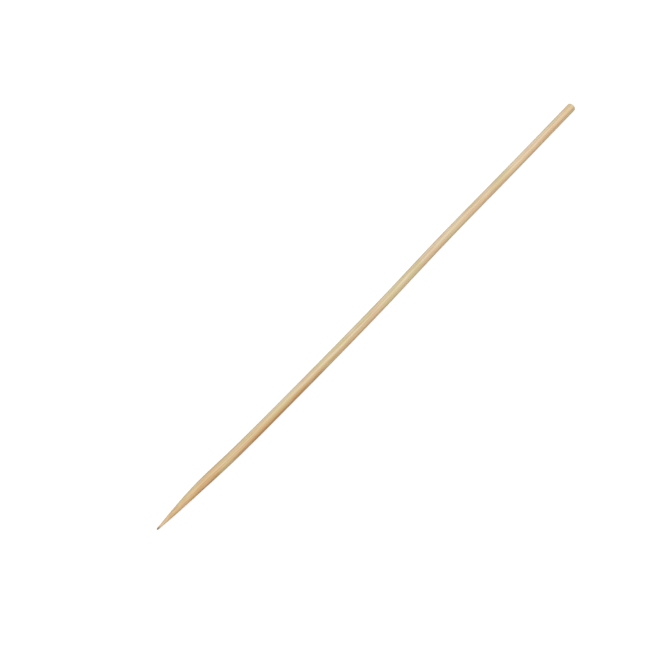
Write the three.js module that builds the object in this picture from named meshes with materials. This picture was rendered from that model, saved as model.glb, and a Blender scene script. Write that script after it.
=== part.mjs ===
// A bamboo skewer: one plain round stick, sharpened to a long point at one end and cut off
// square at the other. Real sticks of this kind are never quite straight, so this one wanders
// a little to one side along its length.
//
// Millimetres, +Z up. The stick lies along X with its point towards -X and its cut butt
// towards +X. It rests on z = 0, and the middle of the ground that it covers is the origin.

import * as THREE from 'three';

// Driving dimensions
const LENGTH = 200; // from the tip of the point to the cut face of the butt
const DIAMETER = 3; // of the shank
const POINT_LENGTH = 24; // how much of the stick is sharpened
const TIP_DIAMETER = 0.45; // of the tiny round nose that the point ends in
const BUTT_EDGE = 0.14; // how far the butt's sharp edge is broken, along and across
const BOW = 1; // how far the stick stands off the line between its ends, at most

// The point is a full, slightly rounded one. A fullness of 1 would be a straight cone.
const POINT_FULLNESS = 2;

// Where the middle line goes: shares of the length from the tip, and of the bow there
const WANDER = [
  [0, 0],
  [0.08, 0.05],
  [0.16, 0.7],
  [0.36, 1],
  [0.49, 0.88],
  [0.64, 0.32],
  [0.83, 0.22],
  [1, 0],
];

// How finely the surface is divided
const SIDES = 36;
const NOSE_STEPS = 3;
const POINT_STEPS = 18;
const SHANK_STEPS = 36;

// Straw-coloured wood with a dull, unvarnished surface
const STRAW = 0xdcc294;
const WOOD_ROUGHNESS = 0.62;

const RADIUS = DIAMETER / 2;
const NOSE_RADIUS = TIP_DIAMETER / 2;

// The stick's radius at a distance from where the nose ends, along the sharpened stretch
function pointRadius(distance) {
  const stretch = POINT_LENGTH - NOSE_RADIUS;
  const share = 1 - distance / stretch;
  return NOSE_RADIUS + (RADIUS - NOSE_RADIUS) * (1 - share ** POINT_FULLNESS);
}

// The nose is a quarter circle, from the axis out to where the sharpened stretch starts
function noseProfile() {
  const profile = [];
  for (let step = 0; step < NOSE_STEPS; step += 1) {
    const turn = (step / NOSE_STEPS) * (Math.PI / 2);
    const radius = NOSE_RADIUS * Math.sin(turn);
    const along = NOSE_RADIUS * (1 - Math.cos(turn));
    profile.push(new THREE.Vector2(radius, along));
  }
  return profile;
}

// The sharpened stretch, from the nose up to the full shank
function pointProfile() {
  const profile = [];
  const stretch = POINT_LENGTH - NOSE_RADIUS;
  for (let step = 0; step < POINT_STEPS; step += 1) {
    const distance = (step / POINT_STEPS) * stretch;
    profile.push(new THREE.Vector2(pointRadius(distance), NOSE_RADIUS + distance));
  }
  return profile;
}

// The plain shank, in enough short lengths to carry the bow, up to the butt's broken edge
function shankProfile() {
  const profile = [];
  const stretch = LENGTH - BUTT_EDGE - POINT_LENGTH;
  for (let step = 0; step <= SHANK_STEPS; step += 1) {
    profile.push(new THREE.Vector2(RADIUS, POINT_LENGTH + (step / SHANK_STEPS) * stretch));
  }
  return profile;
}

// The butt's flat face, with its edge taken off at 45 degrees
function buttProfile() {
  return [new THREE.Vector2(RADIUS - BUTT_EDGE, LENGTH), new THREE.Vector2(0, LENGTH)];
}

// The stick's middle line, a smooth curve through the places above
function middleLine() {
  const places = WANDER.map(([along, aside]) => new THREE.Vector3(along * LENGTH, -aside * BOW, 0));
  return new THREE.CatmullRomCurve3(places);
}

// Moves each cross-section onto the middle line. The sections stay square to X, so the butt's
// face stays flat and faces +X.
function followMiddleLine(geometry) {
  const line = middleLine();
  const position = geometry.attributes.position;
  for (let vertex = 0; vertex < position.count; vertex += 1) {
    const place = line.getPointAt(position.getX(vertex) / LENGTH);
    position.setX(vertex, place.x);
    position.setY(vertex, position.getY(vertex) + place.y);
  }
}

// Turns the profile round its own axis and lays the stick down along X
function stickGeometry() {
  const profile = [...noseProfile(), ...pointProfile(), ...shankProfile(), ...buttProfile()];
  const geometry = new THREE.LatheGeometry(profile, SIDES);
  geometry.rotateZ(-Math.PI / 2);
  followMiddleLine(geometry);
  geometry.computeVertexNormals();
  return geometry;
}

// Puts the middle of the mesh's footprint at the origin and its lowest point on z = 0
function standOnGround(mesh) {
  const box = new THREE.Box3().setFromObject(mesh);
  const centre = box.getCenter(new THREE.Vector3());
  mesh.position.set(-centre.x, -centre.y, -box.min.z);
}

const bamboo = new THREE.MeshStandardMaterial({
  color: STRAW,
  roughness: WOOD_ROUGHNESS,
  metalness: 0,
});

const skewer = new THREE.Mesh(stickGeometry(), bamboo);
skewer.name = 'skewer';
standOnGround(skewer);

const model = new THREE.Group();
model.add(skewer);

export default model;
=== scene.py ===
# A bamboo skewer lying on a plain white floor.
#
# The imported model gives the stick's size, where its middle line goes and how thick it is at each
# place. The stick that shows is built on those as a dense mesh with the relief of real bamboo.
# Lengths are in millimetres until they reach Blender, which takes metres.
import itertools
import math

import bpy
import numpy as np
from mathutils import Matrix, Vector, noise


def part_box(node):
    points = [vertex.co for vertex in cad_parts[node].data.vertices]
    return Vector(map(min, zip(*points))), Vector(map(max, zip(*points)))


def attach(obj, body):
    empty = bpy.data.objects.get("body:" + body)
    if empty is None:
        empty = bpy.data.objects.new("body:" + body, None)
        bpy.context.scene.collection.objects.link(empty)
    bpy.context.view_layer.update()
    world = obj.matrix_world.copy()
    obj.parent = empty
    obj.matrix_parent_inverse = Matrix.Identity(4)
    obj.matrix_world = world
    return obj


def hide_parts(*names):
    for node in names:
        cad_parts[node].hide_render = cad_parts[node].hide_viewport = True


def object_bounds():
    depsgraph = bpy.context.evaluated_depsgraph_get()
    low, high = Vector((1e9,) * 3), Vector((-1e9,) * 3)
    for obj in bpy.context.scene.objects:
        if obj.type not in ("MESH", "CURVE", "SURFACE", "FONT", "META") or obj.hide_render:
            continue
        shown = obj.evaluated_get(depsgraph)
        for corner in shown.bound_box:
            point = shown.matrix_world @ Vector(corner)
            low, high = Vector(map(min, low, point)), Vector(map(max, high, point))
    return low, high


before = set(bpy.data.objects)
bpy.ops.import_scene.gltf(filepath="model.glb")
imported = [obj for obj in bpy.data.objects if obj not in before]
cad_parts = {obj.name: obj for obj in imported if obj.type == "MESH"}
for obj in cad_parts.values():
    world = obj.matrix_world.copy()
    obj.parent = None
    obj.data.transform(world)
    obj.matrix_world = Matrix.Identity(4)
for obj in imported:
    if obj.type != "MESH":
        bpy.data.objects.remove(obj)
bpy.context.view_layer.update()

MM = 0.001

# The camera, where the photograph was taken from
PICTURE_SIDE = 650  # pixels
LENS_IN_PIXELS = 950
SENSOR_WIDTH = 36
CAMERA_AZIMUTH = -47.98  # degrees, 0 looks along +Y
CAMERA_ELEVATION = 64.6  # degrees above the floor
CAMERA_DISTANCE = 298.1
LOOKED_AT = (-20.00, 8.55, 0)

# How finely the stick is divided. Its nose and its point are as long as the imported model's.
SIDES = 160
NOSE_LENGTH = 0.225
NOSE_STEPS = 6
POINT_LENGTH = 24
POINT_STEP = 0.25
SHANK_STEP = 0.6
END_LENGTH = 1.5
END_STEP = 0.15
EDGE_STEPS = 6
FACE_RINGS = 22
SETTLING_RINGS = 3  # of the cut face, over which its relief grows from none at the rim

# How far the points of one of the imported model's rings may differ along X
RING_TOLERANCE = 0.002

# Relief, as heights above and below the plain round stick
OUT_OF_ROUND = 0.020
UNEVEN_THICKNESS = 0.022
KNIFE_FLATS = 0.016
FIBRE_RIDGES = 0.012
SAW_MARKS = 0.010
FACE_UNEVENNESS = 0.018
RIM_WEAR = 0.07
RIM_WEAR_CHANGES = 1.7  # how often the wear comes and goes across the rim

# The map that textures are baked through: the stick's side in strips, and its cut face beside them
BAKE_MAP = "OFBake"
BAKE_STRIPS = 4
STRIPS_HEIGHT = 0.90
STRIP_GAP = 0.004
FACE_MAP_SIZE = 0.085

# The bundles of fibres in the wood
BUNDLE_SPACING = 0.36
BUNDLE_SWAY = 0.9

# The shades of the wood, from 0 to 255 as a picture shows them. Some paint in light and shade: the
# +Y flank's paler shade is painted light, the -Y flank's is partly its own warmer colour and partly
# painted shade, and the brown on the -Y flank near the point is painted shadow.
SHADES_ALONG = [  # the main colour, at shares of the length from the tip
    (0.05, (222, 188, 139)),
    (0.30, (225, 210, 171)),
    (0.60, (232, 217, 183)),
    (0.85, (243, 219, 184)),
]
# Painted light: the paler shade of the +Y flank
PAINTED_LIGHT_FLANK = (241, 227, 196)
# Partly the wood's own warmer colour and partly painted shade: the -Y flank
WARM_FLANK_AND_PAINTED_SHADE = (220, 168, 100)
# Painted shadow: the brown along the -Y flank's edge near the point
PAINTED_SHADOW_BROWN = (176, 124, 64)
YELLOWED_BUTT = (236, 203, 148)
PINK_PATCH = (230, 190, 160)
GREEN_PATCH = (216, 206, 152)
BROWN_STREAK = (208, 162, 106)
CREAM_STREAK = (243, 228, 198)
DARK_HAIR = (172, 128, 80)
BUNDLE_BROWN = (164, 118, 70)
NEEDLE_GREY = (124, 116, 106)

# Share of the stick's length that the darkened needle of the point takes up
DARK_NEEDLE = 0.007

# The finish: dull, and a little duller in places
SPECULAR = 0.30
ROUGHNESS = (0.52, 0.70)
BUMP_STRENGTH = 0.6
BUMP_HEIGHT = 0.02

# The attribute that holds each point's place in the stick before it wanders
GRAIN = "grain"


# The stick's form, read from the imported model


def rings_of(node):
    """Where the node's rings of points lie along X, and the middle and radius of each."""
    points = np.array([v.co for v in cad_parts[node].data.vertices]) / MM
    places = np.unique(points[:, 0].round(3))
    middles, radii = [], []
    for place in places:
        ring = points[np.abs(points[:, 0] - place) < RING_TOLERANCE]
        lowest, highest = ring.min(0), ring.max(0)
        middles.append((lowest[1] + highest[1]) / 2)
        radii.append((highest[2] - lowest[2]) / 2)
    return places, np.array(middles), np.array(radii)


def smoothly(at, places, values):
    """Values between the places, along a curve that has no corner at them."""
    slopes = np.gradient(values, places)
    index = np.clip(np.searchsorted(places, at, side="right") - 1, 0, len(places) - 2)
    step = places[index + 1] - places[index]
    share = (at - places[index]) / step
    start, end = values[index], values[index + 1]
    leave, arrive = slopes[index] * step, slopes[index + 1] * step
    return (
        start * (1 + 2 * share) * (1 - share) ** 2
        + leave * share * (1 - share) ** 2
        + end * share**2 * (3 - 2 * share)
        - arrive * share**2 * (1 - share)
    )


low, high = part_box("skewer")
LENGTH = (high.x - low.x) / MM
RADIUS = (high.z - low.z) / 2 / MM
TIP = low.x / MM
BUTT = high.x / MM
CENTRE_HEIGHT = (low.z + high.z) / 2 / MM
ring_places, ring_middles, ring_radii = rings_of("skewer")
BUTT_EDGE = ring_places[-1] - ring_places[-2]


def middle_of(places):
    return smoothly(places, ring_places, ring_middles)


def radius_of(places):
    """The plain radius, up to where the butt's broken edge starts."""
    return smoothly(np.minimum(places, ring_places[-2]), ring_places[:-1], ring_radii[:-1])


# The relief of its surface


def noise_over(along, across, up, seed):
    """Smooth noise from -1 to 1 at each of many points. The seed moves to another part of it."""
    points = zip(along.ravel(), across.ravel(), up.ravel(), strict=True)
    values = [noise.noise(Vector((x + seed, y + seed, z - seed))) for x, y, z in points]
    return np.array(values).reshape(along.shape)


def stretched_noise(along, across, up, length, width, seed):
    """Noise whose patches are this long and this wide."""
    return noise_over(along / length, across / width, up / width, seed)


def side_relief(along, angle, radius):
    """How far the side stands off the plain stick. It fades out where the point gets thin."""
    across = RADIUS * np.cos(angle)
    up = RADIUS * np.sin(angle)
    level = np.zeros_like(along)
    relief = OUT_OF_ROUND * stretched_noise(along, across, up, length=60, width=2.6, seed=3.1)
    relief += UNEVEN_THICKNESS * stretched_noise(along, level, level, length=24, width=1, seed=11.7)
    relief += KNIFE_FLATS * stretched_noise(along, across, up, length=35, width=1.0, seed=23.9)
    relief += FIBRE_RIDGES * stretched_noise(along, across, up, length=7, width=0.22, seed=37.3)
    fullness = np.clip(radius / RADIUS, 0, 1)
    return relief * fullness**1.5


def face_relief(across, up):
    """The cut face: faint saw marks, long upwards and narrow across, on slightly uneven wood."""
    level = np.zeros_like(across)
    marks = stretched_noise(level, across, up * 0.15, length=1, width=0.16, seed=5.3)
    lumps = stretched_noise(level, across, up, length=1, width=0.9, seed=13.1)
    return SAW_MARKS * marks + FACE_UNEVENNESS * lumps


# The mesh


def evenly(start, stop, step):
    """Places from the start up to just before the stop, in steps of about this length."""
    return np.linspace(start, stop, math.ceil((stop - start) / step), endpoint=False)


def stations():
    """Places along the stick at which its side is divided, from the nose to the butt's edge. The
    joins between the bake map's strips are among them."""
    joins = [LENGTH * strip / BAKE_STRIPS for strip in range(1, BAKE_STRIPS)]
    stretches = [POINT_LENGTH, *joins, LENGTH - END_LENGTH]
    turns = np.linspace(0, math.pi / 2, NOSE_STEPS, endpoint=False)
    nose = NOSE_LENGTH * (1 - np.cos(turns[1:]))
    point = evenly(NOSE_LENGTH, POINT_LENGTH, POINT_STEP)
    shank = [evenly(start, stop, SHANK_STEP) for start, stop in itertools.pairwise(stretches)]
    end = evenly(LENGTH - END_LENGTH, LENGTH - BUTT_EDGE, END_STEP)
    return TIP + np.concatenate([nose, point, *shank, end, [LENGTH - BUTT_EDGE]])


def side_rings(angles):
    """The side: a ring of points at each station, as along, across and up from the middle line."""
    along, angle = np.meshgrid(stations(), angles, indexing="ij")
    radius = radius_of(along)
    radius = radius + side_relief(along, angle, radius)
    return along, radius * np.cos(angle), radius * np.sin(angle)


def edge_rings(angles, last_radius):
    """The butt's edge, rounded over and worn more in some places than in others."""
    level = np.zeros_like(angles)
    across, up = RIM_WEAR_CHANGES * np.cos(angles), RIM_WEAR_CHANGES * np.sin(angles)
    wear = noise_over(level, across, up, 41.3)
    depth = BUTT_EDGE + RIM_WEAR * np.clip(wear, -1, 1)
    turn = np.linspace(0, math.pi / 2, EDGE_STEPS + 1)[1:, None]
    along = BUTT - BUTT_EDGE + BUTT_EDGE * np.sin(turn) + level
    radius = last_radius - depth * (1 - np.cos(turn))
    return along, radius * np.cos(angles), radius * np.sin(angles)


def face_rings(across, up):
    """The cut face, from its rim to just short of its middle."""
    share = 1 - np.arange(1, FACE_RINGS)[:, None] / FACE_RINGS
    across, up = share * across, share * up
    settle = np.clip((1 - share) * FACE_RINGS / SETTLING_RINGS, 0, 1)
    return BUTT + settle * face_relief(across, up), across, up


def stick_points():
    """All rings of points from the nose to the butt's middle, as along, across and up."""
    angles = np.linspace(0, 2 * math.pi, SIDES, endpoint=False)
    side = side_rings(angles)
    last_radius = np.hypot(side[1][-1], side[2][-1])
    edge = edge_rings(angles, last_radius)
    face = face_rings(edge[1][-1], edge[2][-1])
    return np.stack([np.concatenate(part) for part in zip(side, edge, face, strict=True)], -1)


def face_corners(rings):
    """The corners of each face, as a ring and a side. The tip counts as a ring before the first,
    and the middle of the cut face as one after the last. Sides count on round the seam."""
    faces = []
    for ring in range(rings - 1):
        for side in range(SIDES):
            faces.append([(ring, side), (ring, side + 1), (ring + 1, side + 1), (ring + 1, side)])
    for side in range(SIDES):
        faces.append([(-1, side + 0.5), (0, side + 1), (0, side)])
        faces.append([(rings, side + 0.5), (rings - 1, side), (rings - 1, side + 1)])
    return faces


def point_number(corner, rings):
    """Where a corner's point is in the mesh: ring by ring, then the tip and the face's middle."""
    ring, side = corner
    if ring < 0:
        return rings * SIDES
    if ring == rings:
        return rings * SIDES + 1
    return ring * SIDES + side % SIDES


def wandered(points):
    """Points of the straight stick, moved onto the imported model's middle line, in metres."""
    places = np.clip(points[:, 0], TIP, BUTT)
    moved = points.copy()
    moved[:, 1] += middle_of(places)
    moved[:, 2] += CENTRE_HEIGHT
    return moved * MM


def store_grain(mesh, points):
    """Keeps where each point lies in the straight stick, for the fibres of the material."""
    stored = mesh.attributes.new(GRAIN, "FLOAT_VECTOR", "POINT")
    stored.data.foreach_set("vector", points.astype(np.float32).ravel())


def strip_place(place, side, strip):
    """A point of the stick's side on the bake map: how far along its strip, and how far up it."""
    strip_length = LENGTH / BAKE_STRIPS
    row_height = STRIPS_HEIGHT / BAKE_STRIPS
    along = (place - TIP) / strip_length - strip
    u = STRIP_GAP + along * (1 - 2 * STRIP_GAP)
    v = strip * row_height + STRIP_GAP + (1 - side / SIDES) * (row_height - 2 * STRIP_GAP)
    return u, v


def strip_ending_at(place):
    """The bake map's strip for a face of the side, from the place along the stick where it ends."""
    inside = place - POINT_STEP / 2
    return max(0, int((inside - TIP) / LENGTH * BAKE_STRIPS))


def disc_place(ring, side):
    """A point of the butt's edge or cut face on the bake map: one disc, its rings evenly spaced."""
    radius = (FACE_MAP_SIZE - 2 * STRIP_GAP) / 2 * (1 - ring / (EDGE_STEPS + FACE_RINGS))
    angle = 2 * math.pi * side / SIDES
    centre = FACE_MAP_SIZE / 2
    return centre + radius * math.cos(angle), STRIPS_HEIGHT + centre + radius * math.sin(angle)


def lay_bake_map(mesh, faces, places):
    """Lays the side out in strips, and the butt's edge and cut face beside them as a disc."""
    layer = mesh.uv_layers.new(name=BAKE_MAP)
    last_side_ring = len(places) - 1
    for polygon, corners in zip(mesh.polygons, faces, strict=True):
        first = min(ring for ring, side in corners)
        last = max(ring for ring, side in corners)
        if first >= last_side_ring:
            mapped = [disc_place(ring - last_side_ring, side) for ring, side in corners]
        else:
            strip = strip_ending_at(places[last])
            along = {ring: TIP if ring < 0 else places[ring] for ring in (first, last)}
            mapped = [strip_place(along[ring], side, strip) for ring, side in corners]
        for loop, place in zip(polygon.loop_indices, mapped, strict=True):
            layer.data[loop].uv = place


def build_stick():
    """The skewer as one closed mesh."""
    rings = stick_points()
    points = np.concatenate([rings.reshape(-1, 3), [[TIP, 0, 0], [BUTT, 0, 0]]])
    faces = face_corners(len(rings))
    numbered = [[point_number(corner, len(rings)) for corner in corners] for corners in faces]
    mesh = bpy.data.meshes.new("bamboo_skewer")
    mesh.from_pydata(wandered(points).tolist(), [], numbered)
    store_grain(mesh, points)
    lay_bake_map(mesh, faces, stations())
    mesh.polygons.foreach_set("use_smooth", [True] * len(mesh.polygons))
    mesh.update()
    stick = bpy.data.objects.new("bamboo_skewer", mesh)
    bpy.context.scene.collection.objects.link(stick)
    return stick


# The bamboo material


def new_node(tree, kind, **settings):
    node = tree.nodes.new(kind)
    for name, value in settings.items():
        setattr(node, name, value)
    return node


def feed(tree, node, socket, value):
    """Sets an input to a value, or links it where the value is another node's output."""
    if isinstance(value, bpy.types.NodeSocket):
        tree.links.new(value, node.inputs[socket])
    else:
        node.inputs[socket].default_value = value


def maths(tree, operation, first, second):
    node = new_node(tree, "ShaderNodeMath", operation=operation)
    feed(tree, node, 0, first)
    feed(tree, node, 1, second)
    return node.outputs[0]


def spread(tree, value, low_in, high_in, low_out=0.0, high_out=1.0):
    """The value taken smoothly from one range to another, and held at that range's ends."""
    node = new_node(tree, "ShaderNodeMapRange", interpolation_type="SMOOTHSTEP")
    for socket, number in enumerate((value, low_in, high_in, low_out, high_out)):
        feed(tree, node, socket, number)
    return node.outputs[0]


def swayed(tree, value, pattern, reach):
    """A value pushed up and down by a pattern, by half of the reach each way."""
    push = maths(tree, "MULTIPLY", maths(tree, "SUBTRACT", pattern, 0.5), reach)
    return maths(tree, "ADD", value, push)


def linear(shade):
    """A shade from 0 to 255, as a picture shows it, turned into the colour that Blender takes."""
    parts = []
    for part in shade:
        share = part / 255
        parts.append(share / 12.92 if share < 0.04045 else ((share + 0.055) / 1.055) ** 2.4)
    return (*parts, 1.0)


def painted(tree, paint, shade, share):
    """The paint with a shade over it, as strongly as the share says."""
    node = new_node(tree, "ShaderNodeMix", data_type="RGBA")
    feed(tree, node, 0, share)
    feed(tree, node, 6, paint)
    feed(tree, node, 7, linear(shade))
    return node.outputs[2]


def tinted(tree, paint, shade, pattern, start, full, strength):
    """The paint with a shade over it where the pattern is past its start, and most where full."""
    return painted(tree, paint, shade, spread(tree, pattern, start, full, 0.0, strength))


def grain_place(tree, length, width, shift):
    """Places in the straight stick, so that a pattern's patches are this long and this wide."""
    place = new_node(tree, "ShaderNodeAttribute", attribute_name=GRAIN, attribute_type="GEOMETRY")
    node = new_node(tree, "ShaderNodeVectorMath", operation="MULTIPLY_ADD")
    feed(tree, node, 0, place.outputs["Vector"])
    feed(tree, node, 1, (1 / length, 1 / width, 1 / width))
    feed(tree, node, 2, (shift, shift, -shift))
    return node.outputs[0]


def grain_noise(tree, length, width, shift, detail=2.0):
    node = new_node(tree, "ShaderNodeTexNoise")
    feed(tree, node, "Vector", grain_place(tree, length, width, shift))
    feed(tree, node, "Scale", 1.0)
    feed(tree, node, "Detail", detail)
    return node.outputs[0]


def grain_parts(tree):
    """The place in the straight stick, as its parts along, across and up."""
    place = new_node(tree, "ShaderNodeAttribute", attribute_name=GRAIN, attribute_type="GEOMETRY")
    parts = new_node(tree, "ShaderNodeSeparateXYZ")
    feed(tree, parts, 0, place.outputs["Vector"])
    return parts.outputs


def share_along(tree):
    """The distance from the tip as a share of the stick's length."""
    from_tip = maths(tree, "SUBTRACT", grain_parts(tree)[0], TIP)
    return maths(tree, "DIVIDE", from_tip, LENGTH)


def share_across(tree):
    """The place between the flanks: 0 at the +Y one, and 1 at the -Y one."""
    across = maths(tree, "DIVIDE", grain_parts(tree)[1], 2 * RADIUS)
    return maths(tree, "SUBTRACT", 0.5, across)


def bundle_distance(tree):
    """How far the nearest bundle of fibres is, in spacings. The bundles run the whole length and
    weave a little, so they show as dots on the cut face and as long lines where they surface."""
    parts = grain_parts(tree)
    across_sway = grain_noise(tree, length=40, width=4, shift=61)
    up_sway = grain_noise(tree, length=40, width=4, shift=67)
    across = swayed(tree, parts[1], across_sway, BUNDLE_SWAY)
    up = swayed(tree, parts[2], up_sway, BUNDLE_SWAY)
    place = new_node(tree, "ShaderNodeCombineXYZ")
    feed(tree, place, 0, maths(tree, "DIVIDE", across, BUNDLE_SPACING))
    feed(tree, place, 1, maths(tree, "DIVIDE", up, BUNDLE_SPACING))
    cells = new_node(tree, "ShaderNodeTexVoronoi", voronoi_dimensions="2D", feature="F1")
    feed(tree, cells, "Vector", place.outputs[0])
    feed(tree, cells, "Scale", 1.0)
    return cells.outputs["Distance"]


def ramp_of(tree, place, shades):
    """A colour ramp through these shades, each at its own place from 0 to 1."""
    ramp = new_node(tree, "ShaderNodeValToRGB")
    feed(tree, ramp, 0, place)
    stops = ramp.color_ramp.elements
    first, last = shades[0], shades[-1]
    stops[0].position, stops[0].color = first[0], linear(first[1])
    stops[1].position, stops[1].color = last[0], linear(last[1])
    for position, shade in shades[1:-1]:
        stop = stops.new(position)
        stop.color = linear(shade)
    return ramp.outputs[0]


def ground_colour(tree, along, across):
    """The main colour: warm near the point and lighter further on. Painted light makes the +Y flank
    paler, more towards the back; the -Y flank is warmer and darker, partly its own colour and
    partly painted shade, above all in the front half; and painted shadow browns its edge near the
    point."""
    place = swayed(tree, along, grain_noise(tree, length=26, width=4, shift=7), 0.16)
    paint = ramp_of(tree, place, SHADES_ALONG)
    side = swayed(tree, across, grain_noise(tree, length=40, width=3, shift=19), 0.35)
    # Painted light: the +Y flank paler, more towards the back
    back = spread(tree, along, 0.15, 0.40, 0.35, 1.0)
    pale = maths(tree, "MULTIPLY", spread(tree, side, 0.55, 0.20, 0.0, 0.85), back)
    paint = painted(tree, paint, PAINTED_LIGHT_FLANK, pale)
    # The -Y flank warmer and darker, most in the front half: partly its own colour, partly painted
    # shade
    front = spread(tree, along, 0.22, 0.60, 1.0, 0.55)
    warm = maths(tree, "MULTIPLY", spread(tree, side, 0.50, 1.0, 0.0, 0.90), front)
    paint = painted(tree, paint, WARM_FLANK_AND_PAINTED_SHADE, warm)
    # Painted shadow: a brown on the -Y flank's edge, strongest near the point
    near_point = spread(tree, along, 0.20, 0.50, 1.0, 0.15)
    painted_shadow = maths(tree, "MULTIPLY", spread(tree, side, 0.80, 1.02, 0.0, 0.88), near_point)
    paint = painted(tree, paint, PAINTED_SHADOW_BROWN, painted_shadow)
    return tinted(tree, paint, YELLOWED_BUTT, along, start=0.960, full=0.985, strength=0.60)


def with_patches(tree, paint):
    """The paint with soft patches of other tints, longer than they are wide."""
    pattern = grain_noise(tree, length=9, width=2.5, shift=31)
    paint = tinted(tree, paint, PINK_PATCH, pattern, start=0.50, full=0.68, strength=0.40)
    pattern = grain_noise(tree, length=11, width=2.2, shift=43)
    return tinted(tree, paint, GREEN_PATCH, pattern, start=0.48, full=0.64, strength=0.55)


def with_fibres(tree, paint):
    """The paint with dark and pale streaks and fine dark hair lines."""
    pattern = grain_noise(tree, length=30, width=0.30, shift=57, detail=4)
    paint = tinted(tree, paint, BROWN_STREAK, pattern, start=0.45, full=0.72, strength=0.50)
    pattern = grain_noise(tree, length=22, width=0.22, shift=71, detail=3)
    paint = tinted(tree, paint, CREAM_STREAK, pattern, start=0.48, full=0.70, strength=0.40)
    pattern = grain_noise(tree, length=16, width=0.085, shift=103, detail=3)
    return tinted(tree, paint, DARK_HAIR, pattern, start=0.58, full=0.66, strength=0.30)


def with_bundles(tree, paint, along):
    """The paint with the bundles' browner wood, faint on the side and plain on the cut face."""
    strength = spread(tree, along, 0.9993, 0.9998, 0.26, 0.62)
    inside = spread(tree, bundle_distance(tree), 0.38, 0.14)
    return painted(tree, paint, BUNDLE_BROWN, maths(tree, "MULTIPLY", inside, strength))


def bamboo_colour(tree):
    along = share_along(tree)
    paint = ground_colour(tree, along, share_across(tree))
    paint = with_patches(tree, paint)
    paint = with_fibres(tree, paint)
    paint = with_bundles(tree, paint, along)
    return tinted(
        tree, paint, NEEDLE_GREY, along, start=DARK_NEEDLE, full=DARK_NEEDLE / 4, strength=0.85
    )


def bamboo_height(tree):
    """For the bump: fine fibres and bundles, and on the point the faint rings of its sharpening."""
    fibres = grain_noise(tree, length=12, width=0.09, shift=83, detail=3)
    bundles = spread(tree, bundle_distance(tree), 0.10, 0.40, 0.0, 0.4)
    sharpened = POINT_LENGTH / LENGTH
    on_point = spread(tree, share_along(tree), sharpened, sharpened * 0.8, 0.0, 0.5)
    rings = grain_noise(tree, length=0.16, width=2.4, shift=109)
    rings = maths(tree, "MULTIPLY", rings, on_point)
    return maths(tree, "ADD", maths(tree, "ADD", fibres, bundles), rings)


def bamboo_material():
    material = bpy.data.materials.new("bamboo_wood")
    material.use_nodes = True
    tree = material.node_tree
    shader = tree.nodes["Principled BSDF"]
    feed(tree, shader, "Base Color", bamboo_colour(tree))
    pattern = grain_noise(tree, length=18, width=0.25, shift=97, detail=3)
    feed(tree, shader, "Roughness", spread(tree, pattern, 0.3, 0.7, *ROUGHNESS))
    shader.inputs["Specular IOR Level"].default_value = SPECULAR
    bump = new_node(tree, "ShaderNodeBump")
    bump.inputs["Strength"].default_value = BUMP_STRENGTH
    bump.inputs["Distance"].default_value = BUMP_HEIGHT * MM
    feed(tree, bump, "Height", bamboo_height(tree))
    feed(tree, shader, "Normal", bump.outputs[0])
    return material


# The studio

# In metres and watts. Near the object the floor is lit by the lamp and glows, and both together
# come out white. Over the reach of the shade, the lamp's share fades and the glow makes up for it.
FLOOR_SIZE = 6.0
FLOOR_GREY = 0.55  # of the light that the floor throws back at the object
FLOOR_GLOW = 0.80
FLOOR_SHADE = 0.28
SHADE_REACH = (0.20, 0.90)
AMBIENT = 0.32
KEY_POWER = 4.5
KEY_SIZE = 0.40
KEY_PLACE = (-0.12, -0.10, 0.80)


def seen_directly(tree):
    """1 for the camera's rays and those that a mirror or glass passes on, and 0 for the rest."""
    rays = new_node(tree, "ShaderNodeLightPath").outputs
    passed_on = maths(tree, "MAXIMUM", rays["Is Glossy Ray"], rays["Is Transmission Ray"])
    return maths(tree, "MAXIMUM", rays["Is Camera Ray"], passed_on)


def floor_material():
    """White to the eye, with the object's shadow and no horizon, and a plain grey to the light that
    it throws back."""
    material = bpy.data.materials.new("white_floor")
    material.use_nodes = True
    tree = material.node_tree
    tree.nodes.remove(tree.nodes["Principled BSDF"])
    place = new_node(tree, "ShaderNodeNewGeometry")
    length = new_node(tree, "ShaderNodeVectorMath", operation="LENGTH")
    feed(tree, length, 0, place.outputs["Position"])
    distance = length.outputs["Value"]
    grey = new_node(tree, "ShaderNodeBsdfDiffuse")
    grey.inputs["Color"].default_value = (FLOOR_GREY, FLOOR_GREY, FLOOR_GREY, 1)
    shaded = new_node(tree, "ShaderNodeBsdfDiffuse")
    feed(tree, shaded, "Color", spread(tree, distance, *SHADE_REACH, FLOOR_SHADE, 0.0))
    glow = new_node(tree, "ShaderNodeEmission")
    feed(tree, glow, "Strength", spread(tree, distance, *SHADE_REACH, FLOOR_GLOW, 1.0))
    white = new_node(tree, "ShaderNodeAddShader")
    feed(tree, white, 0, shaded.outputs[0])
    feed(tree, white, 1, glow.outputs[0])
    mix = new_node(tree, "ShaderNodeMixShader")
    feed(tree, mix, 0, seen_directly(tree))
    feed(tree, mix, 1, grey.outputs[0])
    feed(tree, mix, 2, white.outputs[0])
    feed(tree, tree.nodes["Material Output"], "Surface", mix.outputs[0])
    return material


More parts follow.
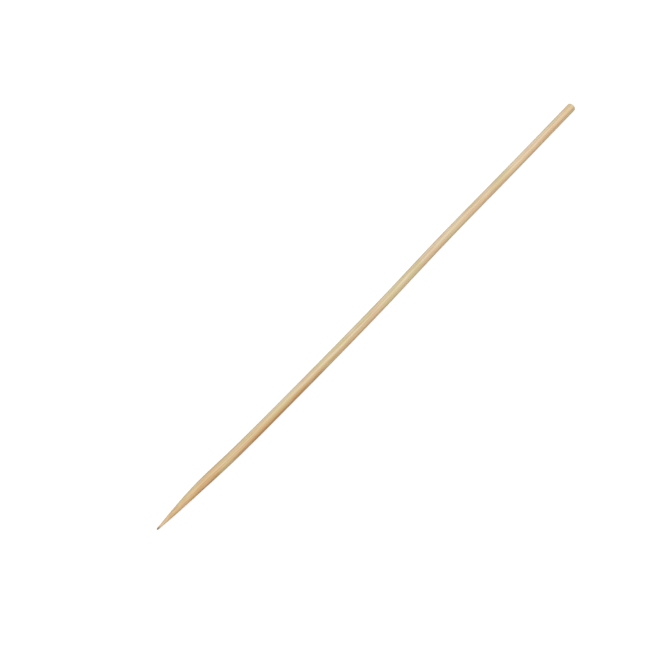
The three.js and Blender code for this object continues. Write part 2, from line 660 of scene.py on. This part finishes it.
def make_floor():
    half = FLOOR_SIZE / 2
    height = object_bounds()[0].z
    outline = [(-half, -half), (half, -half), (half, half), (-half, half)]
    corners = [(x, y, height) for x, y in outline]
    mesh = bpy.data.meshes.new("floor")
    mesh.from_pydata(corners, [], [(0, 1, 2, 3)])
    mesh.materials.append(floor_material())
    floor = bpy.data.objects.new("floor", mesh)
    bpy.context.scene.collection.objects.link(floor)


def make_world():
    """White behind everything, and a low even light from all round."""
    world = bpy.data.worlds.new("studio")
    bpy.context.scene.world = world
    world.use_nodes = True
    tree = world.node_tree
    background = tree.nodes["Background"]
    background.inputs["Color"].default_value = (1, 1, 1, 1)
    strength = spread(tree, seen_directly(tree), 0, 1, AMBIENT, 1)
    feed(tree, background, "Strength", strength)


def make_key_light():
    """One soft round lamp overhead."""
    lamp = bpy.data.lights.new("overhead_softbox", "AREA")
    lamp.shape = "DISK"
    lamp.size = KEY_SIZE
    lamp.energy = KEY_POWER
    holder = bpy.data.objects.new("overhead_softbox", lamp)
    holder.location = KEY_PLACE
    holder.rotation_mode = "QUATERNION"
    holder.rotation_quaternion = (-Vector(KEY_PLACE)).to_track_quat("-Z", "Y")
    bpy.context.scene.collection.objects.link(holder)


def make_camera():
    azimuth, elevation = math.radians(CAMERA_AZIMUTH), math.radians(CAMERA_ELEVATION)
    back = Vector((
        math.sin(azimuth) * math.cos(elevation),
        -math.cos(azimuth) * math.cos(elevation),
        math.sin(elevation),
    ))
    lens = bpy.data.cameras.new("camera")
    lens.sensor_width = SENSOR_WIDTH
    lens.lens = SENSOR_WIDTH * LENS_IN_PIXELS / PICTURE_SIDE
    lens.clip_start = 0.01
    camera = bpy.data.objects.new("camera", lens)
    camera.location = (Vector(LOOKED_AT) + back * CAMERA_DISTANCE) * MM
    camera.rotation_mode = "QUATERNION"
    camera.rotation_quaternion = (-back).to_track_quat("-Z", "Y")
    bpy.context.scene.collection.objects.link(camera)
    bpy.context.scene.camera = camera


make_camera()
make_key_light()
make_world()

skewer = build_stick()
skewer.data.materials.append(bamboo_material())
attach(skewer, "root")
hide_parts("skewer")
make_floor()

bpy.context.scene.view_settings.view_transform = "Standard"
